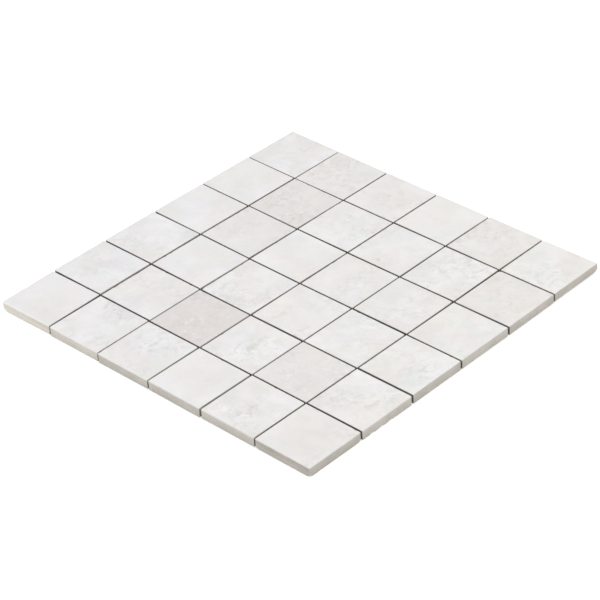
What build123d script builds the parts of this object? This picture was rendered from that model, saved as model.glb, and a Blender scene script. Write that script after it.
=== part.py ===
# A mosaic sheet of square porcelain chips, laid by hand on an open glass-yarn mesh.
# The chips are sawn from a larger pressed tile, so their backs carry its ribs,
# and the chips that came from its rim keep the pressed edge.
# X and Y run along the sheet's sides, Z is up, and the origin is the middle of the underside.

import os
from math import asin, degrees

from build123d import *

# The sheet
chips_per_side = 6
joint = 1.5

# One chip
chip_side = 48.5
chip_thickness = 7.5
arris = 0.4

# The ribbed back
rib_pitch = 9.0
groove_width = 4.5
groove_depth = 1.0
groove_flank = 0.6

# The rim of the pressed tile, under the left and far sides: an upright land above a bevel that bellies out
rim_run = 5.0
rim_rise = 2.2
rim_belly = 0.4
far_rim_run = 7.5
far_rim_rise = 2.8
far_rim_belly = 0.5

# The smaller bevel under two sides of the front chip
slight_run = 3.8
slight_rise = 1.2
slight_belly = 0.15

# The foot of the near right side, broken away more from row to row
foot_run = 1.8
foot_belly = 0.1
foot_rises = {2: 0.4, 3: 0.7, 4: 0.8, 5: 1.4}

# The chips under which the pressed ribs end early: the first groove's place and the number of grooves
short_ribbing = {(5, 1): (-15.0, 3)}

# The chip from the plain patch of the pressed tile, which has no ribs
plain_chip = (5, 0)

# The mesh: strands of glass yarn along X, with strands along Y laid across them
strand_pitch = 5.0
strand_width = 1.0
strand_thickness = 0.2
mesh_inset = 3.0

# How hand laying left the chips, in shares of the joint: the slide along X, the slide along Y, and how far
# the turn swings each corner sideways. The whole grid slides so that the sheet's outermost corners are centred.
grid_slide = (0.22, -0.15)
loose_chips = {
    (0, 0): (0.0, 0.15, 0.25),
    (1, 0): (0.10, 0.05, 0.05),
    (2, 0): (-0.10, -0.20, 0.05),
    (3, 0): (-0.15, -0.20, -0.05),
    (5, 0): (-0.05, 0.0, 0.0),
    (0, 1): (-0.50, 0.30, 0.05),
    (1, 1): (0.0, 0.10, 0.0),
    (2, 1): (0.10, -0.20, 0.0),
    (3, 1): (0.20, -0.25, 0.0),
    (4, 1): (0.05, -0.05, 0.0),
    (5, 1): (0.0, 0.10, 0.05),
    (0, 2): (-0.45, 0.40, 0.0),
    (1, 2): (-0.05, 0.15, -0.20),
    (2, 2): (0.25, -0.25, -0.10),
    (3, 2): (0.20, -0.15, 0.05),
    (4, 2): (0.05, -0.10, 0.05),
    (5, 2): (0.0, 0.25, 0.05),
    (0, 3): (-0.20, 0.35, -0.20),
    (1, 3): (0.05, 0.05, -0.25),
    (2, 3): (0.20, -0.25, -0.10),
    (3, 3): (0.20, -0.25, 0.10),
    (4, 3): (0.0, 0.10, 0.15),
    (5, 3): (0.0, 0.10, 0.05),
    (0, 4): (0.15, 0.10, -0.15),
    (1, 4): (0.20, -0.10, -0.15),
    (2, 4): (0.10, -0.15, 0.05),
    (3, 4): (0.0, -0.10, 0.10),
    (4, 4): (-0.15, 0.10, 0.20),
    (5, 4): (-0.15, 0.35, 0.15),
    (0, 5): (0.60, -0.30, -0.10),
    (1, 5): (0.30, -0.40, 0.0),
    (2, 5): (0.05, -0.30, 0.0),
    (3, 5): (-0.15, -0.05, -0.05),
    (4, 5): (-0.35, 0.15, 0.05),
    (5, 5): (-0.50, 0.40, 0.15),
}

# What the saw left some chips over or under the usual side, along X and along Y
odd_sizes = {
    (0, 0): (-0.20, 0.10),
    (0, 1): (-0.20, 0.20),
    (1, 1): (0.60, 0.0),
    (2, 1): (0.25, 0.0),
    (0, 2): (0.0, 0.20),
    (1, 2): (0.55, 0.0),
    (3, 2): (0.0, -0.20),
    (5, 2): (0.0, -0.20),
    (1, 3): (0.20, 0.0),
    (2, 3): (0.0, 0.20),
    (3, 4): (-0.15, 0.30),
    (4, 4): (-0.25, 0.15),
    (5, 4): (0.0, 0.30),
    (2, 5): (-0.25, -0.20),
    (3, 5): (0.0, -0.25),
    (4, 5): (-0.20, 0.0),
}

# Worked out from the sizes above
pitch = chip_side + joint
sheet_side = chips_per_side * pitch - joint
mesh_side = sheet_side - 2 * mesh_inset
mesh_thickness = 2 * strand_thickness
strand_count = int((mesh_side - strand_width) / strand_pitch) + 1
half_side = chip_side / 2
last = chips_per_side - 1
beyond = chip_side


def chip_seat(column, row):
    """The plane of a chip's underside, centred under the chip and turned as it was laid."""
    slide_x, slide_y, swing = loose_chips.get((column, row), (0.0, 0.0, 0.0))
    place_x = (column - last / 2) * pitch + (slide_x + grid_slide[0]) * joint
    place_y = (row - last / 2) * pitch + (slide_y + grid_slide[1]) * joint
    turn = degrees(asin(swing * joint / half_side))
    return Plane(origin=(place_x, place_y, mesh_thickness)).rotated((0, 0, turn))


def side_section(seat, quarter_turns):
    """The upright plane across a chip whose x points out of the side that many quarter turns from +X."""
    turned = seat.rotated((0, 0, 90 * quarter_turns))
    return Plane(origin=seat.origin, x_dir=turned.x_dir, z_dir=-turned.y_dir)


def bevelled_sides(column, row):
    """The chip's sides with a bevel underneath: quarter turns from +X, run, rise and belly."""
    sides = []
    if column == last and row in foot_rises:
        sides.append((0, foot_run, foot_rises[row], foot_belly))
    if row == last:
        sides.append((1, far_rim_run, far_rim_rise, far_rim_belly))
    if column == 0:
        sides.append((2, rim_run, rim_rise, rim_belly))
    if (column, row) == (last, 0):
        sides.append((1, slight_run, slight_rise, slight_belly))
        sides.append((2, slight_run, slight_rise, slight_belly))
    return sides


def bevel_profile(section, reach, run, rise, belly):
    """What the bevel takes off below the side that the section points out of, with a rounded face."""
    toe = Vector(reach - run, 0)
    heel = Vector(reach, rise)
    outward = Vector(rise, -run).normalized()
    crown = (toe + heel) * 0.5 + outward * belly
    with BuildSketch(section) as bevel:
        with BuildLine():
            ThreePointArc(toe, crown, heel)
            Polyline(heel, (reach + rise, rise), (reach + rise, -rise), (toe.X, -rise), toe)
        make_face()
    return bevel.sketch


def groove_profiles(seat, ribs_along_y, bevels, short):
    """The grooves between the ribs, spaced evenly on the flat that the bevels leave, or the few there are."""
    across = 0 if ribs_along_y else 1
    low = -half_side + sum(run for side, run, rise, belly in bevels if side == across + 2)
    high = half_side - sum(run for side, run, rise, belly in bevels if side == across)
    count = int((high - low) / rib_pitch)
    first = (low + high - (count - 1) * rib_pitch) / 2
    if short:
        first, count = short
    places = [(first + index * rib_pitch, 0) for index in range(count)]
    mouth = groove_width / 2
    floor = mouth - groove_flank
    with BuildSketch(side_section(seat, across)) as grooves:
        with Locations(*places):
            Polygon((-mouth, 0), (mouth, 0), (floor, groove_depth), (-floor, groove_depth), align=None)
    return grooves.sketch


os.makedirs("parts", exist_ok=True)

# The chips, each a piece of its own
for column in range(chips_per_side):
    for row in range(chips_per_side):
        seat = chip_seat(column, row)
        bevels = bevelled_sides(column, row)
        ribs_along_y = (column == last and row != 1) or (row == last and column > 0)
        over_x, over_y = odd_sizes.get((column, row), (0.0, 0.0))
        sides = (chip_side + over_x, chip_side + over_y)
        with BuildPart() as chip:
            with BuildSketch(seat):
                Rectangle(*sides)
            extrude(amount=chip_thickness)
            chamfer(chip.faces().sort_by(Axis.Z)[-1].edges(), arris)
            for side, run, rise, belly in bevels:
                profile = bevel_profile(side_section(seat, side), sides[side % 2] / 2, run, rise, belly)
                extrude(profile, amount=beyond, both=True, mode=Mode.SUBTRACT)
            if (column, row) != plain_chip:
                grooves = groove_profiles(seat, ribs_along_y, bevels, short_ribbing.get((column, row)))
                extrude(grooves, amount=beyond, both=True, mode=Mode.SUBTRACT)
        chip_name = f"chip_row{row + 1}_col{column + 1}"
        chip.part.label = chip_name
        export_step(chip.part, f"parts/{chip_name}.step")

# The lower strands, along X, on which the sheet lies
with BuildPart() as mesh_warp:
    with BuildSketch():
        with GridLocations(strand_pitch, strand_pitch, 1, strand_count):
            Rectangle(mesh_side, strand_width)
    extrude(amount=strand_thickness)
mesh_warp.part.label = "mesh_warp"
export_step(mesh_warp.part, "parts/mesh_warp.step")

# The upper strands, along Y, on which the chips are glued
with BuildPart() as mesh_weft:
    with BuildSketch(Plane.XY.offset(strand_thickness)):
        with GridLocations(strand_pitch, strand_pitch, strand_count, 1):
            Rectangle(strand_width, mesh_side)
    extrude(amount=strand_thickness)
mesh_weft.part.label = "mesh_weft"
export_step(mesh_weft.part, "parts/mesh_weft.step")
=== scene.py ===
# A mosaic sheet of glazed porcelain tiles on its glass-yarn mesh, dressed for the render.
# Everything is in metres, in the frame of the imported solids: X and Y along the sheet's sides, Z up.

import math
import random

import bmesh
import bpy
from mathutils import Matrix, Vector, noise


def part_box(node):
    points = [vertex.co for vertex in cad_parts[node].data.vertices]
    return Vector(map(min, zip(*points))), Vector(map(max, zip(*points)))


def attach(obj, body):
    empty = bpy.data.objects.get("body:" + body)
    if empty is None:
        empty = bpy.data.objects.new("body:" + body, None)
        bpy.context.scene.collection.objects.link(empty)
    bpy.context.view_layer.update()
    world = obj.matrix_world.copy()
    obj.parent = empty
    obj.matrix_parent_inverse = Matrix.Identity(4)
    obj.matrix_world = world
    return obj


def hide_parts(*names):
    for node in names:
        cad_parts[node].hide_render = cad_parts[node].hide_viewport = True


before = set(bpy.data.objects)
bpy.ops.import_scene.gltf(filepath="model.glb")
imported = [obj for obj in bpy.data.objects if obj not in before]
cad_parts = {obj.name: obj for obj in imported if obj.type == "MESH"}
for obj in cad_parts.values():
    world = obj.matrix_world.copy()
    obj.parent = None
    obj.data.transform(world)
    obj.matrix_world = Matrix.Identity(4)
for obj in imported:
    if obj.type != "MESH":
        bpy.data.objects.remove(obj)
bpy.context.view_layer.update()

MM = 0.001
UP = Vector((0, 0, 1))

# Two places nearer than this are the same place
HAIR = 0.01 * MM

# The sheet, as the solids have it. The tile measured has the usual size and lies straight.
COUNT = 6
LAST = COUNT - 1
chip_low, chip_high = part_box("chip_row2_col4")
SIDE = chip_high.x - chip_low.x
HALF = SIDE / 2
SEAT = chip_low.z
TOP = chip_high.z
PITCH = 50.0 * MM

# Side faces further than this from the sheet's middle look out of it, and the others into a joint
EDGE = COUNT * PITCH / 2 - 10 * MM

# One tile, as the solids have it
ARRIS = 0.4 * MM
CORNER = 0.35 * MM
RIB_PITCH = 9.0 * MM
GROOVE_WIDTH = 4.5 * MM
GROOVE_DEPTH = 1.0 * MM
GROOVE_FLANK = 0.6 * MM
RIB_EASE = 0.15 * MM

# The bevels pressed under some sides: run, rise and belly
LEFT_RIM = (5.0 * MM, 2.2 * MM, 0.4 * MM)
FAR_RIM = (7.5 * MM, 2.8 * MM, 0.5 * MM)
SLIGHT = (3.8 * MM, 1.2 * MM, 0.15 * MM)
FOOT_RISES = {2: 0.4 * MM, 3: 0.7 * MM, 4: 0.8 * MM, 5: 1.4 * MM}
FOOT_RUN = 1.8 * MM
FOOT_BELLY = 0.1 * MM

# A bevel's edges are rounded by this much, or by its rise over the second number where that is less
RIM_EASE = 0.4 * MM
RISE_TO_EASE = 7

# The tile whose ribs end early, with its first groove's place and its number of grooves, and the ribless tile
SHORT_RIBBING = {(5, 1): (-15.0 * MM, 3)}
PLAIN_TILE = (5, 0)

# The tile whose foot is knocked round at one corner: which corner, and by how much
KNOCKED_TILE = (5, 0)
KNOCKED_CORNER = Vector((1, -1, 0))
KNOCK = 0.7 * MM

# The cuts that carry the fine relief: their spacing across a tile, and their heights as shares of its sides
GRID = 2.0 * MM
LEVELS = (0.25, 0.5, 0.75)

# The small faults of a tile: how large each is, how deep it goes where its noise is 1, and for the nibbles
# in the arrises and the chips in the foot the noise at which they start
NIBBLE_SIZE = 3.5 * MM
NIBBLE_DEPTH = 0.56 * MM
NIBBLE_START = 0.38
GLAZE_WAVE_SIZE = 18 * MM
GLAZE_WAVE_DEPTH = 0.02 * MM
SAW_WAVE_SIZE = 9 * MM
SAW_WAVE_DEPTH = 0.05 * MM
FOOT_CHIP_SIZE = 3 * MM
FOOT_CHIP_DEPTH = 0.25 * MM
FOOT_CHIP_START = 0.15

# The mesh, as the solids have it
STRAND_PITCH = 5.0 * MM
STRAND_COUNT = 59
STRAND_WIDTH = 1.0 * MM
STRAND_THICKNESS = 0.2 * MM
STRAND_TAIL = 1.2 * MM

# The yarn's shape: its width and thickness between the crossings and at its cut tails, as shares, how far it
# strays from a straight line, and over what length
WAIST = (0.78, 0.9)
TAIL_TAPER = 0.85
STRAY = 0.25 * MM
STRAY_LENGTH = 45 * MM

# The glue: a smear's length, width and thickness, how far under the tile its middle and its flattened top
# lie, how the rib pressed that top, how far it strays from its crossing, how much it varies in size, and the
# number of ribs and the places along each rib that have one
SMEAR = (4.6 * MM, 3.2 * MM, 0.5 * MM)
SMEAR_DROP = 0.14 * MM
SMEAR_TOP = 0.06 * MM
SMEAR_PRESS = (1.15, 1.15, 0.3)
SMEAR_STRAY = 0.5 * MM
SMEAR_SIZES = (0.75, 1.2)
GLUED_RIBS = 4
GLUE_PLACES = (-15 * MM, -5 * MM, 5 * MM, 15 * MM)

# The large printed tile that the small ones are sawn from
SLAB = 600 * MM

# How far each tile's print leans to beige, where it is not plain white stone
WARMTH = {
    (2, 1): 1.0, (1, 4): 0.5, (4, 1): 0.45, (5, 0): 0.2, (4, 5): 0.2,
    (5, 4): 0.3, (4, 3): 0.2, (1, 3): 0.3, (1, 5): 0.2,
}

# Tiles sawn from a calm stretch of the print, and the share of the print's marks that they have
CALM_TILES = {(0, 0), (3, 0), (1, 2), (0, 3), (2, 3), (0, 4), (3, 5)}
CALM_SHARE = 0.3

# Grey smudges of the print: column and row of the tile, place from its middle and radius in millimetres,
# and strength
SMUDGES = (
    (1, 4, -13, -9, 13, 0.55), (1, 4, 15, -12, 10, 0.45), (2, 0, -4, 6, 13, 0.6), (3, 4, 2, -19, 6, 0.7),
    (3, 1, 0, -6, 7, 0.55), (5, 1, -18, -14, 8, 0.5), (1, 0, -12, 20, 6, 0.45), (4, 0, 2, -4, 9, 0.45),
    (2, 5, -2, -2, 6, 0.4), (1, 0, 16, -16, 10, 0.5), (5, 4, -4, 4, 10, 0.3), (1, 1, -9, 6, 6, 0.4),
    (1, 5, 8, -4, 16, 0.35), (5, 2, 13, 0, 14, 0.5), (4, 3, 2, 12, 12, 0.35), (5, 5, 8, -9, 15, 0.5),
    (0, 1, -6, -4, 16, 0.3), (4, 4, 14, 8, 13, 0.5),
)

# The two near sides, tile by tile from the left corner to the front one and from there to the right one:
# how light the sawn body is, partly painted light that makes the left side lighter towards the left corner,
# how white the cut glaze shows above it, and how much lighter the lower half is
LEFT_TONES = (0.96, 0.86, 0.55, 0.57, 0.71, 0.2)
LEFT_LINES = (1.0, 0.75, 0.85, 0.55, 0.6, 0.75)
LEFT_LOWER_BANDS = (1.0, 0.0, 0.0, 0.0, 0.0, 0.3)
RIGHT_TONES = (0.38, 0.6, 0.48, 0.56, 0.48, 0.42)
RIGHT_LINES = (0.65, 0.6, 0.1, 0.0, 0.05, 0.05)

# The joint walls that look to the front right: how light their slurry film and painted shade are, where that
# is unusual
WALL_TONES = {
    (0, 0): 0.0, (0, 1): 1.0, (0, 2): 0.85, (1, 1): 1.0, (1, 2): 0.85, (1, 5): 0.0, (2, 0): 0.9,
    (2, 1): 0.85, (2, 5): 0.0, (3, 0): 0.9, (3, 2): 0.1, (3, 3): 0.15, (4, 2): 0.75,
}

# The ranges of tones and lines on the other joint walls, and the dark tone of the ones that look to the
# front left, which is painted shade for the light that reaches them less
USUAL_TONES = (0.3, 0.6)
USUAL_LINES = (0.2, 0.7)
FRONT_LEFT_WALL_SHADE = 0.05

# How much each step along the columns and the rows adds to the painted light colour, from lilac to cream
LIGHT_TINT_STEPS = (0.6 / LAST, 0.4 / LAST)

# Every random choice is drawn from here, in the same order each run
draw = random.Random(11)

# The places of the four materials on each tile
ON_FACE, ON_SAWN, ON_JOINT, ON_BACK = range(4)


def linear(code):
    """An sRGB hex colour as linear red, green, blue and alpha."""
    shares = [int(code[i:i + 2], 16) / 255 for i in (1, 3, 5)]
    return [s / 12.92 if s <= 0.04045 else ((s + 0.055) / 1.055) ** 2.4 for s in shares] + [1.0]


def add(tree, kind, links=None, values=None, **settings):
    """Adds a node. Settings are its attributes or named inputs, values and links its inputs by name or
    number."""
    node = tree.nodes.new(kind)
    for key, value in settings.items():
        if hasattr(node, key):
            setattr(node, key, value)
        else:
            node.inputs[key.replace("_", " ")].default_value = value
    for key, value in (values or {}).items():
        node.inputs[key].default_value = value
    for key, source in (links or {}).items():
        tree.links.new(source, node.inputs[key])
    return node


def only(piece):
    """Selects this piece and nothing else."""
    bpy.ops.object.select_all(action="DESELECT")
    piece.select_set(True)
    bpy.context.view_layer.objects.active = piece


def pick(piece, faces=None, edges=None):
    """In edit mode, selects the faces or edges that the test holds for, and nothing else. The test gets the
    middle, and a face's normal or an edge's length and direction."""
    bpy.ops.mesh.select_all(action="DESELECT")
    shape = bmesh.from_edit_mesh(piece.data)
    if faces:
        bpy.ops.mesh.select_mode(type="FACE")
        for face in shape.faces:
            face.select_set(bool(faces(face.calc_center_median(), face.normal)))
    else:
        bpy.ops.mesh.select_mode(type="EDGE")
        for edge in shape.edges:
            a, b = (v.co for v in edge.verts)
            edge.select_set(bool(edges((a + b) / 2, b - a)))
    bmesh.update_edit_mesh(piece.data)


def near(a, b):
    return abs(a - b) < HAIR


def block(name, size, place):
    """A block at its size and place, to be shaped."""
    bpy.ops.object.select_all(action="DESELECT")
    bpy.ops.mesh.primitive_cube_add(size=1, calc_uvs=False, location=place)
    piece = bpy.context.object
    piece.name = name
    piece.scale = size
    bpy.ops.object.transform_apply(location=True, rotation=True, scale=True)
    return piece


def repeat(piece, count, step, merge=False):
    """Repeats a piece in a row, with one applied Array."""
    only(piece)
    row = piece.modifiers.new("row", "ARRAY")
    row.count = count
    row.use_relative_offset = False
    row.use_constant_offset = True
    row.constant_offset_displace = step
    row.use_merge_vertices = merge
    row.merge_threshold = 0.001 * MM
    bpy.ops.object.modifier_apply(modifier="row")


# Materials


def material_tree(name, roughness, ior=1.5):
    """A new material with its shader's even values set, its node tree and its shader."""
    material = bpy.data.materials.new(name)
    material.use_nodes = True
    shader = material.node_tree.nodes["Principled BSDF"]
    shader.inputs["Roughness"].default_value = roughness
    shader.inputs["IOR"].default_value = ior
    return material, material.node_tree, shader


def glazed_face():
    """Porcelain stoneware, sprayed with engobe and satin glaze over an ink-jet print of pale limestone.
    The eye gets soft clouds of grey and white that lean to rose or green, and worn places with greige
    freckles, chalky patches and short veins, more on some tiles than on others."""
    material, tree, shader = material_tree("satin_glaze_on_stone_print", 0.48)
    place = add(tree, "ShaderNodeUVMap", uv_map="print").outputs["UV"]
    # The layers of the print: name, size in millimetres, detail, swirl, and the noise values where the layer
    # starts and where it is full. The grain stands for ink dots of 0.1 mm, which are too fine to show.
    layers = {}
    for layer, size, detail, swirl, start, full in (
        ("clouds", 30, 3.0, 0.4, 0.36, 0.64),
        ("rose lean", 16, 3.0, 0.3, 0.38, 0.62),
        ("warm lean", 40, 2.0, 0.2, 0.38, 0.62),
        ("worn places", 36, 2.0, 0.6, 0.47, 0.63),
        ("patches", 13, 3.0, 0.6, 0.44, 0.6),
        ("freckles", 5, 3.0, 0.5, 0.46, 0.66),
        ("chalk", 7, 5.0, 1.0, 0.5, 0.7),
        ("veins", 14, 4.0, 1.2, 0.0, 1.0),
        ("grain", 1.5, 2.0, 0.0, 0.3, 0.7),
    ):
        pattern = add(tree, "ShaderNodeTexNoise", links={"Vector": place}, Scale=1 / (size * MM),
                      Detail=detail, Roughness=0.58, Distortion=swirl).outputs["Fac"]
        layers[layer] = add(tree, "ShaderNodeMapRange", links={"Value": pattern}, From_Min=start,
                            From_Max=full).outputs[0]
    # Veins follow the middle value of their noise
    layers["veins"] = add(tree, "ShaderNodeMath", operation="COMPARE", values={1: 0.5, 2: 0.016},
                          links={0: layers["veins"]}).outputs[0]
    # Pinholes of chalk 1 to 2 mm across, 7 mm apart, in one cell of three
    spots = add(tree, "ShaderNodeTexVoronoi", links={"Vector": place}, Scale=1 / (7 * MM))
    small = add(tree, "ShaderNodeMapRange", links={"Value": spots.outputs["Distance"]}, From_Min=0.05,
                From_Max=0.14, To_Min=1.0, To_Max=0.0).outputs[0]
    chance = add(tree, "ShaderNodeSeparateColor", links={"Color": spots.outputs["Color"]}).outputs[0]
    some = add(tree, "ShaderNodeMath", operation="GREATER_THAN", values={1: 0.66},
               links={0: chance}).outputs[0]
    layers["pinholes"] = add(tree, "ShaderNodeMath", operation="MULTIPLY",
                             links={0: small, 1: some}).outputs[0]
    for mark in ("warmth", "smudge", "wear", "painted_light_tint"):
        layers[mark] = add(tree, "ShaderNodeAttribute", attribute_name=mark).outputs["Fac"]
    layers["worn places"] = add(tree, "ShaderNodeMath", operation="MULTIPLY",
                                links={0: layers["worn places"], 1: layers["wear"]}).outputs[0]
    colour = add(tree, "ShaderNodeMix", data_type="RGBA", values={6: linear("#eaedeb"), 7: linear("#efebee")},
                 links={0: layers["rose lean"]}).outputs[2]
    for layer, within, strength, code in (
        ("clouds", None, 0.6, "#faf9f9"),
        ("warm lean", None, 0.4, "#ebe5dd"),
        ("patches", "wear", 0.2, "#d8d5d3"),
        ("warmth", None, 0.9, "#e2dcd9"),
        ("chalk", "warmth", 0.35, "#f0ebe7"),
        ("freckles", "worn places", 0.35, "#cfcac6"),
        ("freckles", "smudge", 0.75, "#bdbebe"),
        ("veins", "worn places", 0.22, "#c4bfba"),
        ("chalk", "worn places", 0.45, "#fdfaf5"),
        ("pinholes", None, 0.45, "#fdf9f1"),
    ):
        share = layers[layer]
        if within:
            share = add(tree, "ShaderNodeMath", operation="MULTIPLY",
                        links={0: share, 1: layers[within]}).outputs[0]
        part = add(tree, "ShaderNodeMath", operation="MULTIPLY", values={1: strength}, links={0: share})
        colour = add(tree, "ShaderNodeMix", data_type="RGBA", values={7: linear(code)},
                     links={0: part.outputs[0], 6: colour}).outputs[2]
    # Painted light colour: the tiles at the left corner are tinted lilac and those at the right cream, for
    # cooler light from the left and warmer light from the right
    tint = add(tree, "ShaderNodeMix", data_type="RGBA", values={6: linear("#fdfdff"), 7: linear("#fffffd")},
               links={0: layers["painted_light_tint"]}).outputs[2]
    colour = add(tree, "ShaderNodeVectorMath", operation="MULTIPLY", links={0: colour, 1: tint}).outputs[0]
    light = add(tree, "ShaderNodeMapRange", links={"Value": layers["grain"]}, To_Min=0.998,
                To_Max=1.02).outputs[0]
    final = add(tree, "ShaderNodeVectorMath", operation="SCALE", links={0: colour, "Scale": light}).outputs[0]
    tree.links.new(final, shader.inputs["Base Color"])
    # The glaze is a little drier over the clouds
    dry = add(tree, "ShaderNodeMapRange", links={"Value": layers["clouds"]}, To_Min=0.44,
              To_Max=0.54).outputs[0]
    tree.links.new(dry, shader.inputs["Roughness"])
    # A faint orange peel, 0.02 mm deep
    bump = add(tree, "ShaderNodeBump", links={"Height": layers["grain"]}, Strength=0.6, Distance=0.02 * MM)
    tree.links.new(bump.outputs[0], shader.inputs["Normal"])
    return material


def porcelain_side(name, dark, light, foot):
    """Through-body porcelain, pressed and fired to a stony greige, sawn wet: dull, with fine specks of
    feldspar, faint streaks from the blade and, along its top, the white line of the glaze and engobe cut
    through. It is darker towards the foot in painted shade. The colours are those of the darkest body, the
    lightest, and the lighter lower half."""
    material, tree, shader = material_tree(name, 0.72)
    place = add(tree, "ShaderNodeTexCoord").outputs["Object"]
    height = add(tree, "ShaderNodeSeparateXYZ", links={0: place}).outputs["Z"]
    tone = add(tree, "ShaderNodeAttribute", attribute_name="side_tone").outputs["Fac"]
    glazed = add(tree, "ShaderNodeAttribute", attribute_name="side_line").outputs["Fac"]
    lower_band = add(tree, "ShaderNodeAttribute", attribute_name="side_lower_band").outputs["Fac"]
    # Body clouds about 14 mm, specks 0.9 mm, streaks 0.7 mm high and 12 mm long
    body = add(tree, "ShaderNodeTexNoise", links={"Vector": place}, Scale=1 / (14 * MM),
               Detail=3.0).outputs["Fac"]
    speck = add(tree, "ShaderNodeTexNoise", links={"Vector": place}, Scale=1 / (0.9 * MM), Detail=2.0,
                Roughness=0.7).outputs["Fac"]
    flat = add(tree, "ShaderNodeMapping", links={"Vector": place}, Scale=(0.06, 0.06, 1.0)).outputs[0]
    streak = add(tree, "ShaderNodeTexNoise", links={"Vector": flat}, Scale=1 / (0.7 * MM),
                 Detail=2.0).outputs["Fac"]
    lean = add(tree, "ShaderNodeMapRange", links={"Value": body}, From_Min=0.3, From_Max=0.7, To_Min=-0.16,
               To_Max=0.16).outputs[0]
    mixed = add(tree, "ShaderNodeMath", operation="ADD", use_clamp=True, links={0: tone, 1: lean}).outputs[0]
    colour = add(tree, "ShaderNodeMix", data_type="RGBA", values={6: linear(dark), 7: linear(light)},
                 links={0: mixed}).outputs[2]
    # On some sides the lower half is lighter
    lower = add(tree, "ShaderNodeMapRange", links={"Value": height}, From_Min=SEAT + 3.1 * MM,
                From_Max=SEAT + 3.7 * MM, To_Min=1.0, To_Max=0.0).outputs[0]
    lighter_below = add(tree, "ShaderNodeMath", operation="MULTIPLY", links={0: lower, 1: lower_band}).outputs[0]
    colour = add(tree, "ShaderNodeMix", data_type="RGBA", values={7: linear(foot)},
                 links={0: lighter_below, 6: colour}).outputs[2]
    # Painted shade: the sides darken towards the foot and lighten a little at the top, for the shadow near
    # the floor
    shade = add(tree, "ShaderNodeMapRange", links={"Value": height}, From_Min=SEAT, From_Max=TOP, To_Min=0.9,
                To_Max=1.04).outputs[0]
    for fine, low, high in ((speck, 0.94, 1.05), (streak, 0.97, 1.03)):
        part = add(tree, "ShaderNodeMapRange", links={"Value": fine}, From_Min=0.3, From_Max=0.7, To_Min=low,
                   To_Max=high).outputs[0]
        shade = add(tree, "ShaderNodeMath", operation="MULTIPLY", links={0: shade, 1: part}).outputs[0]
    colour = add(tree, "ShaderNodeVectorMath", operation="SCALE",
                 links={0: colour, "Scale": shade}).outputs[0]
    # The clay fired a little greener or rosier from place to place, in patches of about 6 mm
    hue = add(tree, "ShaderNodeTexNoise", links={"Vector": place}, Scale=1 / (6 * MM),
              Detail=2.0).outputs["Fac"]
    rosy = add(tree, "ShaderNodeMapRange", links={"Value": hue}, From_Min=0.36, From_Max=0.64).outputs[0]
    tint = add(tree, "ShaderNodeMix", data_type="RGBA", values={6: linear("#fcfffb"), 7: linear("#fffcff")},
               links={0: rosy}).outputs[2]
    colour = add(tree, "ShaderNodeVectorMath", operation="MULTIPLY", links={0: colour, 1: tint}).outputs[0]
    # The white of the glaze and its engobe ends 0.55 to 0.9 mm under the top, and lower on the light sides,
    # where overspray ran down
    wobble = add(tree, "ShaderNodeMapRange", links={"Value": body}, To_Min=-0.25 * MM,
                 To_Max=0.25 * MM).outputs[0]
    run = add(tree, "ShaderNodeMath", operation="MULTIPLY", values={1: 0.5 * MM}, links={0: tone}).outputs[0]
    shifted = add(tree, "ShaderNodeMath", operation="ADD", links={0: wobble, 1: run}).outputs[0]
    level = add(tree, "ShaderNodeMath", operation="ADD", links={0: height, 1: shifted}).outputs[0]
    line = add(tree, "ShaderNodeMapRange", links={"Value": level}, From_Min=TOP - 0.9 * MM,
               From_Max=TOP - 0.55 * MM).outputs[0]
    white = add(tree, "ShaderNodeMath", operation="MULTIPLY", links={0: line, 1: glazed}).outputs[0]
    colour = add(tree, "ShaderNodeMix", data_type="RGBA", values={7: linear("#f0eeea")},
                 links={0: white, 6: colour}).outputs[2]
    tree.links.new(colour, shader.inputs["Base Color"])
    rough = add(tree, "ShaderNodeMath", operation="ADD", links={0: speck, 1: streak}).outputs[0]
    bump = add(tree, "ShaderNodeBump", links={"Height": rough}, Strength=0.7, Distance=0.05 * MM)
    tree.links.new(bump.outputs[0], shader.inputs["Normal"])
    return material


def ribbed_back():
    """The pressed back of the porcelain, fired on rollers: chalky white wash rubbed onto the ribs,
    bare greige body with specks down in the grooves."""
    material, tree, shader = material_tree("kiln_washed_porcelain_back", 0.82)
    place = add(tree, "ShaderNodeTexCoord").outputs["Object"]
    height = add(tree, "ShaderNodeSeparateXYZ", links={0: place}).outputs["Z"]
    patch = add(tree, "ShaderNodeTexNoise", links={"Vector": place}, Scale=1 / (7 * MM), Detail=5.0,
                Roughness=0.65).outputs["Fac"]
    speck = add(tree, "ShaderNodeTexNoise", links={"Vector": place}, Scale=1 / (0.9 * MM),
                Detail=2.0).outputs["Fac"]
    up = add(tree, "ShaderNodeMapRange", links={"Value": height}, From_Min=SEAT + 0.05 * MM,
             From_Max=SEAT + 0.35 * MM, To_Min=1.0, To_Max=0.0).outputs[0]
    rubbed = add(tree, "ShaderNodeMapRange", links={"Value": patch}, From_Min=0.35, From_Max=0.6).outputs[0]
    wash = add(tree, "ShaderNodeMath", operation="MULTIPLY", links={0: up, 1: rubbed}).outputs[0]
    colour = add(tree, "ShaderNodeMix", data_type="RGBA", values={6: linear("#beb7aa"), 7: linear("#e2dfd8")},
                 links={0: wash}).outputs[2]
    shade = add(tree, "ShaderNodeMapRange", links={"Value": speck}, From_Min=0.3, From_Max=0.7, To_Min=0.93,
                To_Max=1.05).outputs[0]
    colour = add(tree, "ShaderNodeVectorMath", operation="SCALE",
                 links={0: colour, "Scale": shade}).outputs[0]
    tree.links.new(colour, shader.inputs["Base Color"])
    bump = add(tree, "ShaderNodeBump", links={"Height": patch}, Strength=0.6, Distance=0.1 * MM)
    tree.links.new(bump.outputs[0], shader.inputs["Normal"])
    return material


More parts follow.
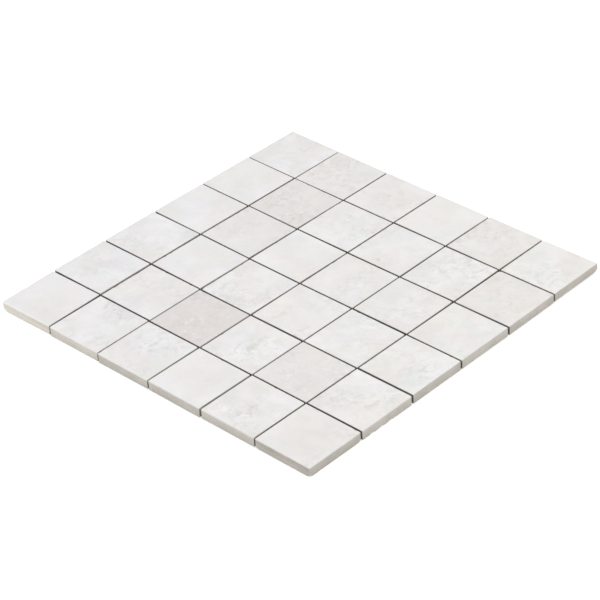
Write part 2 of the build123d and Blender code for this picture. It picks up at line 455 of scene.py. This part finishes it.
def glass_yarn():
    """Glass yarn, twisted and dipped in an alkali-proof resin: off-white, a little glossy, with the slant of
    its twist, drawn every 0.8 mm because the real filaments are too fine to show."""
    material, tree, shader = material_tree("resin_dipped_glass_yarn", 0.42, ior=1.52)
    place = add(tree, "ShaderNodeTexCoord").outputs["Object"]
    twist = add(tree, "ShaderNodeTexWave", links={"Vector": place}, bands_direction="DIAGONAL",
                Scale=1 / (2.2 * MM), Distortion=1.2, Detail=2.0).outputs["Fac"]
    resin = add(tree, "ShaderNodeTexNoise", links={"Vector": place}, Scale=1 / (9 * MM),
                Detail=3.0).outputs["Fac"]
    colour = add(tree, "ShaderNodeMix", data_type="RGBA", values={6: linear("#d9d8d0"), 7: linear("#f0efea")},
                 links={0: twist}).outputs[2]
    part = add(tree, "ShaderNodeMapRange", links={"Value": resin}, From_Min=0.45, From_Max=0.7,
               To_Max=0.5).outputs[0]
    colour = add(tree, "ShaderNodeMix", data_type="RGBA", values={7: linear("#dedac6")},
                 links={0: part, 6: colour}).outputs[2]
    tree.links.new(colour, shader.inputs["Base Color"])
    bump = add(tree, "ShaderNodeBump", links={"Height": twist}, Strength=0.8, Distance=0.05 * MM)
    tree.links.new(bump.outputs[0], shader.inputs["Normal"])
    return material


def mesh_glue():
    """Mosaic mesh glue, a vinyl dispersion rolled on and dried: yellowish white, smooth and slightly glossy,
    clouded where it dried thick."""
    material, tree, shader = material_tree("dried_vinyl_glue", 0.34, ior=1.47)
    place = add(tree, "ShaderNodeTexCoord").outputs["Object"]
    thick = add(tree, "ShaderNodeTexNoise", links={"Vector": place}, Scale=1 / (3 * MM),
                Detail=3.0).outputs["Fac"]
    colour = add(tree, "ShaderNodeMix", data_type="RGBA", values={6: linear("#d8cfb4"), 7: linear("#efebdd")},
                 links={0: thick}).outputs[2]
    tree.links.new(colour, shader.inputs["Base Color"])
    bump = add(tree, "ShaderNodeBump", links={"Height": thick}, Strength=0.5, Distance=0.1 * MM)
    tree.links.new(bump.outputs[0], shader.inputs["Normal"])
    return material


FACE = glazed_face()
SAWN = porcelain_side("sawn_porcelain_side", "#aca79f", "#ddd8cf", "#e6e0d4")
# Joint walls: partly a film of saw slurry, partly painted shade for the darkness deep in the joints
JOINT = porcelain_side("joint_side_slurry_and_painted_shade", "#736e68", "#a29b93", "#a29b93")
BACK = ribbed_back()
YARN = glass_yarn()
GLUE = mesh_glue()


# Tiles


def rim_points(axis, sign, shape):
    """The way out of a side, and the toe, the belly's crown and the heel of the bevel under it."""
    run, rise, belly = shape
    out = Vector((0, 0, 0))
    out[axis] = sign
    slope = math.hypot(run, rise)
    toe = out * (HALF - run) + Vector((0, 0, SEAT))
    heel = out * HALF + Vector((0, 0, SEAT + rise))
    crown = (toe + heel) / 2 + (out * rise - Vector((0, 0, run))) * belly / slope
    return out, toe, crown, heel


def press_rims(piece, rims):
    """Cuts the bevel under each side with two planes that meet at its belly, then softens the edges left."""
    for axis, sign, shape in rims:
        out, toe, crown, heel = rim_points(axis, sign, shape)
        for low, high in ((toe, crown), (crown, heel)):
            rise = (high - low).normalized()
            bpy.ops.mesh.select_all(action="SELECT")
            bpy.ops.mesh.bisect(plane_co=low, plane_no=out * rise.z - UP * rise.dot(out), use_fill=True,
                                clear_outer=True)
    for axis, sign, shape in rims:
        out, toe, crown, heel = rim_points(axis, sign, shape)
        lines = [(point.dot(out), point.z) for point in (crown, heel)]
        pick(piece, edges=lambda c, d: near(d.z, 0)
             and any(near(c.dot(out), reach) and near(c.z, height) for reach, height in lines))
        bpy.ops.mesh.bevel(offset=min(RIM_EASE, shape[1] / RISE_TO_EASE), segments=3, affect="EDGES")


def bevels(col, row):
    """The bevels under a tile's sides: axis, sign and shape."""
    found = []
    if col == LAST and row in FOOT_RISES:
        found.append((0, 1, (FOOT_RUN, FOOT_RISES[row], FOOT_BELLY)))
    if row == LAST:
        found.append((1, 1, FAR_RIM))
    if col == 0:
        found.append((0, -1, LEFT_RIM))
    if (col, row) == (LAST, 0):
        found += [(1, 1, SLIGHT), (0, -1, SLIGHT)]
    return tuple(found)


def grooves(col, row):
    """The grooves under a tile: the axis they are spaced along, the first one's place and their number. A
    back without grooves still has the place from which its rows of glue are counted."""
    if (col, row) == PLAIN_TILE:
        return 0, -1.5 * RIB_PITCH, 0
    if (col, row) in SHORT_RIBBING:
        return 1, *SHORT_RIBBING[(col, row)]
    across = 0 if col == LAST or (row == LAST and col > 0) else 1
    low, high = -HALF, HALF
    for axis, sign, (run, rise, belly) in bevels(col, row):
        if axis == across:
            low, high = (low + run, high) if sign < 0 else (low, high - run)
    count = int((high - low) / RIB_PITCH)
    return across, (low + high - (count - 1) * RIB_PITCH) / 2, count


def cut_ribs(piece, across, first, count):
    """Cuts the grooves of the ribbed back with one comb-shaped cutter."""
    along = 1 - across
    size = [2 * GROOVE_DEPTH] * 3
    size[along] = SIDE * 1.5
    size[across] = GROOVE_WIDTH
    place = Vector((0, 0, SEAT))
    place[across] = first
    comb = block("comb", size, place)
    bpy.ops.object.mode_set(mode="EDIT")
    for up, width in ((1, GROOVE_WIDTH - 2 * GROOVE_FLANK), (-1, GROOVE_WIDTH + 2 * GROOVE_FLANK)):
        pick(comb, faces=lambda c, n: n.z * up > 0.9)
        spread = [1, 1, 1]
        spread[across] = width / GROOVE_WIDTH
        bpy.ops.transform.resize(value=spread, center_override=place)
    bpy.ops.object.mode_set(mode="OBJECT")
    step = [0, 0, 0]
    step[across] = RIB_PITCH
    repeat(comb, count, step)
    only(piece)
    cut = piece.modifiers.new("ribs", "BOOLEAN")
    cut.operation = "DIFFERENCE"
    cut.object = comb
    bpy.ops.object.modifier_apply(modifier="ribs")
    bpy.data.objects.remove(comb)


def tile_blank(rims, across, first, count):
    """One tile round the origin: pressed rims, ribbed back, eased arris and fine cuts."""
    piece = block("blank", (SIDE, SIDE, TOP - SEAT), (0, 0, (SEAT + TOP) / 2))
    bpy.ops.object.mode_set(mode="EDIT")
    press_rims(piece, rims)
    bpy.ops.object.mode_set(mode="OBJECT")
    if count:
        cut_ribs(piece, across, first, count)
    bpy.ops.object.mode_set(mode="EDIT")
    groove_floor = SEAT + GROOVE_DEPTH + HAIR
    inside = HALF - 10 * HAIR
    pick(piece, edges=lambda c, d: c.z < groove_floor and abs(c[across]) < inside and d.length > HALF
         and abs(d.normalized()[1 - across]) > 0.99)
    bpy.ops.mesh.bevel(offset=RIB_EASE, segments=2, affect="EDGES")
    pick(piece, edges=lambda c, d: near(abs(c.x), HALF) and near(abs(c.y), HALF))
    bpy.ops.mesh.bevel(offset=CORNER, segments=2, affect="EDGES")
    pick(piece, edges=lambda c, d: near(c.z, TOP))
    bpy.ops.mesh.bevel(offset=ARRIS, segments=3, affect="EDGES")
    steps = int(HALF / GRID)
    for index in range(-steps, steps + 1):
        for axis in (Vector((1, 0, 0)), Vector((0, 1, 0))):
            pick(piece, faces=lambda c, n: n.z > -0.1)
            bpy.ops.mesh.bisect(plane_co=axis * index * GRID, plane_no=axis)
    for share in LEVELS:
        pick(piece, faces=lambda c, n: abs(n.z) < 0.1)
        bpy.ops.mesh.bisect(plane_co=UP * (SEAT + share * (TOP - SEAT)), plane_no=UP)
    bpy.ops.object.mode_set(mode="OBJECT")
    only(piece)
    bpy.ops.object.shade_smooth_by_angle(angle=math.radians(40))
    for material in (FACE, SAWN, JOINT, BACK):
        piece.data.materials.append(material)
    for polygon in piece.data.polygons:
        if polygon.normal.z > 0.1:
            polygon.material_index = ON_FACE
        elif polygon.center.z < groove_floor and polygon.normal.z < -0.5:
            polygon.material_index = ON_BACK
        else:
            polygon.material_index = ON_SAWN
    return piece


def handle(mesh, knocked):
    """Gives one tile its own small faults: an uneven glaze, nibbled arrises and a slightly ragged foot."""
    seed = Vector((draw.uniform(0, 50), draw.uniform(0, 50), draw.uniform(0, 50)))
    rim = HALF - ARRIS - HAIR
    for vertex in mesh.vertices:
        place = vertex.co.copy()
        reach = max(abs(place.x), abs(place.y))
        outward = Vector([math.copysign(1, value) if abs(value) > rim else 0 for value in place.xy] + [0])
        if place.z > TOP - ARRIS - HAIR and reach > rim:
            bite = max(0.0, noise.noise(place / NIBBLE_SIZE + seed) - NIBBLE_START)
            vertex.co -= (outward + UP) * bite * NIBBLE_DEPTH
        elif place.z > TOP - HAIR:
            vertex.co.z -= GLAZE_WAVE_DEPTH * (1 + noise.noise(place / GLAZE_WAVE_SIZE + seed))
        elif reach > HALF - HAIR:
            vertex.co -= outward * SAW_WAVE_DEPTH * abs(noise.noise(place / SAW_WAVE_SIZE + seed))
            if place.z < SEAT + HAIR:
                chip = max(0.0, noise.noise(place / FOOT_CHIP_SIZE + seed) - FOOT_CHIP_START)
                vertex.co.z += chip * FOOT_CHIP_DEPTH
        if knocked and place.z < SEAT + KNOCK and place.dot(KNOCKED_CORNER) > SIDE - MM:
            vertex.co += (UP - KNOCKED_CORNER) * KNOCK


def printed(mesh, col, row):
    """Lays the print on a tile: its place in the large tile, its leans, its wear and its smudges."""
    layer = mesh.uv_layers.new(name="print")
    turn = Matrix.Rotation(draw.randrange(4) * math.pi / 2, 2)
    shift = Vector((draw.uniform(0, SLAB), draw.uniform(0, SLAB)))
    for loop in mesh.loops:
        layer.data[loop.index].uv = turn @ mesh.vertices[loop.vertex_index].co.xy + shift
    marks = [(Vector((x, y)) * MM, radius * MM, strength)
             for c, r, x, y, radius, strength in SMUDGES if (c, r) == (col, row)]
    smudges = []
    for vertex in mesh.vertices:
        total = 0.0
        for middle, radius, strength in marks:
            total += strength * math.exp(-((vertex.co.xy - middle).length / radius) ** 2)
        smudges.append(min(total, 1.0))
    mesh.attributes.new("smudge", "FLOAT", "POINT").data.foreach_set("value", smudges)
    for name, value in (
        ("warmth", WARMTH.get((col, row), 0.0)),
        ("wear", CALM_SHARE if (col, row) in CALM_TILES else 1.0),
        ("painted_light_tint", LIGHT_TINT_STEPS[0] * col + LIGHT_TINT_STEPS[1] * row),
    ):
        mesh.attributes.new(name, "FLOAT", "POINT").data.foreach_set("value", [value] * len(mesh.vertices))
    usual = (draw.uniform(*USUAL_TONES), draw.uniform(*USUAL_LINES), 0.0)
    # Painted shade: the joint walls that look to the front left are painted darker, as less light reaches
    # them
    left = (FRONT_LEFT_WALL_SHADE, usual[1], 0.0)
    if row == 0:
        left = (LEFT_TONES[col], LEFT_LINES[col], LEFT_LOWER_BANDS[col])
    right = (WALL_TONES.get((col, row), usual[0]), usual[1], 0.0)
    if col == LAST:
        right = (RIGHT_TONES[row], RIGHT_LINES[row], 0.0)
    # The front corner itself parts the looks of its two sides
    looks = []
    for vertex in mesh.vertices:
        if vertex.co.y < ARRIS - HALF and vertex.co.y < -vertex.co.x:
            looks.append(left)
        else:
            looks.append(right if vertex.co.x > HALF - ARRIS else usual)
    for index, name in enumerate(("side_tone", "side_line", "side_lower_band")):
        mesh.attributes.new(name, "FLOAT", "POINT").data.foreach_set("value", [look[index] for look in looks])


def outer(polygon):
    """Whether a side face looks out of the sheet, and not into a joint."""
    return any(abs(polygon.center[i]) > EDGE and abs(polygon.normal[i]) > 0.3 for i in (0, 1))


def laid(name, blank, col, row):
    """A copy of the blank with its own mesh, stretched to the solid's sides and laid where the solid is."""
    node = f"chip_row{row + 1}_col{col + 1}"
    corners = [v.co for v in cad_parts[node].data.vertices if v.co.z > TOP - HAIR]
    front_left = min(corners, key=lambda p: p.x + p.y)
    front_right = max(corners, key=lambda p: p.x - p.y)
    back_right = max(corners, key=lambda p: p.x + p.y)
    middle = (front_left + back_right) / 2
    turn = math.atan2(front_right.y - front_left.y, front_right.x - front_left.x)
    along_x = (front_right - front_left).length + 2 * ARRIS
    along_y = (back_right - front_right).length + 2 * ARRIS
    stretch = Matrix.Diagonal((along_x / SIDE, along_y / SIDE, 1, 1))
    place = Matrix.Translation((middle.x, middle.y, 0)) @ Matrix.Rotation(turn, 4, "Z") @ stretch
    mesh = blank.data.copy()
    mesh.name = name
    handle(mesh, (col, row) == KNOCKED_TILE)
    printed(mesh, col, row)
    mesh.transform(place)
    for polygon in mesh.polygons:
        if polygon.material_index == ON_SAWN and not outer(polygon):
            polygon.material_index = ON_JOINT
        elif polygon.material_index == ON_FACE and polygon.normal.z < 0.95 and outer(polygon):
            polygon.material_index = ON_SAWN
    piece = bpy.data.objects.new(name, mesh)
    bpy.context.scene.collection.objects.link(piece)
    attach(piece, "root")
    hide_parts(node)
    return place


blanks = {}
places = {}
for row in range(COUNT):
    for col in range(COUNT):
        kind = (bevels(col, row), *grooves(col, row))
        if kind not in blanks:
            blanks[kind] = tile_blank(*kind)
        places[(col, row)] = laid(f"tile_row{row + 1}_col{col + 1}", blanks[kind], col, row)
for blank in blanks.values():
    bpy.data.objects.remove(blank)


# Mesh


def yarns(name, node, turned):
    """One layer of the mesh: a cell of yarn, flat on the crossings and drawn in between, set in a row, given
    its cut tails, and repeated across the sheet."""
    low = STRAND_THICKNESS if turned else 0.0
    span = (STRAND_COUNT - 1) * STRAND_PITCH
    middle = low + STRAND_THICKNESS / 2
    start = Vector((-span / 2, -span / 2, middle))
    bpy.ops.object.select_all(action="DESELECT")
    bpy.ops.mesh.primitive_cylinder_add(vertices=8, radius=0.5, depth=1, end_fill_type="NOTHING",
                                        calc_uvs=False, rotation=(0, math.pi / 2, 0))
    piece = bpy.context.object
    piece.name = name
    bpy.ops.object.transform_apply(location=True, rotation=True, scale=True)
    centre = start + Vector((STRAND_PITCH / 2, 0, 0))
    piece.scale = (STRAND_PITCH, STRAND_WIDTH, STRAND_THICKNESS)
    piece.location = centre
    bpy.ops.object.transform_apply(location=True, rotation=True, scale=True)
    bpy.ops.object.mode_set(mode="EDIT")
    bpy.ops.mesh.select_all(action="SELECT")
    bpy.ops.mesh.bisect(plane_co=centre, plane_no=(1, 0, 0))
    pick(piece, edges=lambda c, d: near(c.x, centre.x) and near(d.x, 0))
    bpy.ops.transform.resize(value=(1, *WAIST), center_override=centre)
    bpy.ops.object.mode_set(mode="OBJECT")
    repeat(piece, STRAND_COUNT - 1, (STRAND_PITCH, 0, 0), merge=True)
    bpy.ops.object.mode_set(mode="EDIT")
    for sign in (-1, 1):
        tip = Vector((sign * span / 2, start.y, middle))
        tail = Vector((sign * STRAND_TAIL, 0, 0))
        pick(piece, edges=lambda c, d: near(c.x, tip.x) and near(d.x, 0))
        bpy.ops.mesh.extrude_region_move(TRANSFORM_OT_translate={"value": tail})
        bpy.ops.transform.resize(value=(1, TAIL_TAPER, TAIL_TAPER), center_override=tip + tail)
        bpy.ops.mesh.edge_face_add()
    bpy.ops.mesh.select_all(action="SELECT")
    bpy.ops.mesh.normals_make_consistent(inside=False)
    bpy.ops.object.mode_set(mode="OBJECT")
    repeat(piece, STRAND_COUNT, (0, STRAND_PITCH, 0))
    # No strand runs dead straight: each has a line of the noise to itself, and each layer a sheet of it
    for vertex in piece.data.vertices:
        strand = round((vertex.co.y - start.y) / STRAND_PITCH)
        vertex.co.y += STRAY * noise.noise(Vector((vertex.co.x / STRAY_LENGTH, strand * 0.37, 5.0 * turned)))
    piece.data.transform(Matrix.Rotation(math.pi / 2 if turned else 0.0, 4, "Z"))
    only(piece)
    bpy.ops.object.shade_smooth_by_angle(angle=math.radians(60))
    piece.data.materials.append(YARN)
    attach(piece, "root")
    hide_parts(node)


yarns("yarn_warp", "mesh_warp", turned=False)
yarns("yarn_weft", "mesh_weft", turned=True)

# Glue: one smear, flattened under a rib, copied to crossings of the yarn under every tile and joined
bpy.ops.object.select_all(action="DESELECT")
bpy.ops.mesh.primitive_uv_sphere_add(segments=10, ring_count=6, radius=0.5, calc_uvs=False)
smear = bpy.context.object
smear.scale = SMEAR
smear.location = (0, 0, SEAT - SMEAR_DROP)
bpy.ops.object.transform_apply(location=True, rotation=True, scale=True)
bpy.ops.object.mode_set(mode="EDIT")
pick(smear, faces=lambda c, n: c.z > SEAT - SMEAR_TOP)
bpy.ops.transform.resize(value=SMEAR_PRESS, center_override=(0, 0, SEAT - SMEAR_TOP))
bpy.ops.object.mode_set(mode="OBJECT")
joined = bmesh.new()
for (col, row), place in places.items():
    across, first, count = grooves(col, row)
    for rib in range(GLUED_RIBS):
        for along in GLUE_PLACES:
            spot = Vector((along, first + (rib + 0.5) * RIB_PITCH, 0))
            spot = place @ (spot if across else spot.yxz)
            crossing = [round(value / STRAND_PITCH) * STRAND_PITCH for value in spot.xy]
            shift = [value + draw.uniform(-SMEAR_STRAY, SMEAR_STRAY) for value in crossing] + [0]
            size = draw.uniform(*SMEAR_SIZES)
            turn = Matrix.Rotation(draw.uniform(0, math.pi), 4, "Z")
            copy = smear.data.copy()
            copy.transform(Matrix.Translation(shift) @ turn @ Matrix.Diagonal((size, size, 1, 1)))
            joined.from_mesh(copy)
            bpy.data.meshes.remove(copy)
bpy.data.objects.remove(smear)
glue = bpy.data.objects.new("glue_smears", bpy.data.meshes.new("glue_smears"))
joined.to_mesh(glue.data)
joined.free()
bpy.context.scene.collection.objects.link(glue)
only(glue)
bpy.ops.object.shade_smooth()
glue.data.materials.append(GLUE)
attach(glue, "root")

# Floor: matt white paint, a hair under the mesh. Seen directly or in a gloss it is lifted to white, and it
# keeps the sheet's shadow.
bpy.ops.object.select_all(action="DESELECT")
bpy.ops.mesh.primitive_plane_add(size=40, location=(0, 0, -0.05 * MM))
floor = bpy.context.object
floor.name = "floor"
paint, tree, shader = material_tree("matt_white_floor", 0.9)
shader.inputs["Base Color"].default_value = linear("#f2f2f2")
path = add(tree, "ShaderNodeLightPath")
direct = add(tree, "ShaderNodeMath", operation="MAXIMUM",
             links={0: path.outputs["Is Camera Ray"], 1: path.outputs["Is Glossy Ray"]})
seen = add(tree, "ShaderNodeMath", operation="MAXIMUM",
           links={0: direct.outputs[0], 1: path.outputs["Is Transmission Ray"]})
lift = add(tree, "ShaderNodeEmission", Strength=0.4)
both = add(tree, "ShaderNodeAddShader", links={0: shader.outputs[0], 1: lift.outputs[0]})
mix = add(tree, "ShaderNodeMixShader", links={0: seen.outputs[0], 1: shader.outputs[0], 2: both.outputs[0]})
tree.links.new(mix.outputs[0], tree.nodes["Material Output"].inputs["Surface"])
floor.data.materials.append(paint)

# Light: an even white room and soft lamps, each at its place, looking at its target
world = bpy.data.worlds.new("studio")
bpy.context.scene.world = world
world.use_nodes = True
world.node_tree.nodes["Background"].inputs["Color"].default_value = (1, 1, 1, 1)
world.node_tree.nodes["Background"].inputs["Strength"].default_value = 0.75
for name, size, watts, place, target in (
    ("key_softbox", 1.2, 15.0, (0.95, -0.1, 2.2), (0, 0, 0)),
    ("left_fill", 0.25, 0.35, (-0.38, -0.45, 0.05), (-0.12, -0.15, 0)),
):
    lamp_data = bpy.data.lights.new(name, "AREA")
    lamp_data.shape = "DISK"
    lamp_data.size = size
    lamp_data.energy = watts
    lamp = bpy.data.objects.new(name, lamp_data)
    bpy.context.scene.collection.objects.link(lamp)
    aim = Vector(target) - Vector(place)
    lamp.matrix_world = Matrix.Translation(place) @ aim.to_track_quat("-Z", "Y").to_matrix().to_4x4()

# Camera: at the photo's viewpoint, a little over 1.7 m from the sheet's middle
camera_data = bpy.data.cameras.new("camera")
camera_data.sensor_width = 36
camera_data.lens = 147.9
camera_data.clip_start = 0.05
camera = bpy.data.objects.new("camera", camera_data)
bpy.context.scene.collection.objects.link(camera)
back_way = Vector((0.58755, -0.57725, 0.56707))
right_way = Vector((0.72622, 0.68526, -0.05490))
up_way = back_way.cross(right_way)
matrix = Matrix((right_way, up_way, back_way)).transposed().to_4x4()
matrix.translation = Vector((1.02934, -1.01225, 0.97871 + TOP))
camera.matrix_world = matrix
bpy.context.scene.camera = camera
bpy.context.scene.view_settings.view_transform = "Standard"
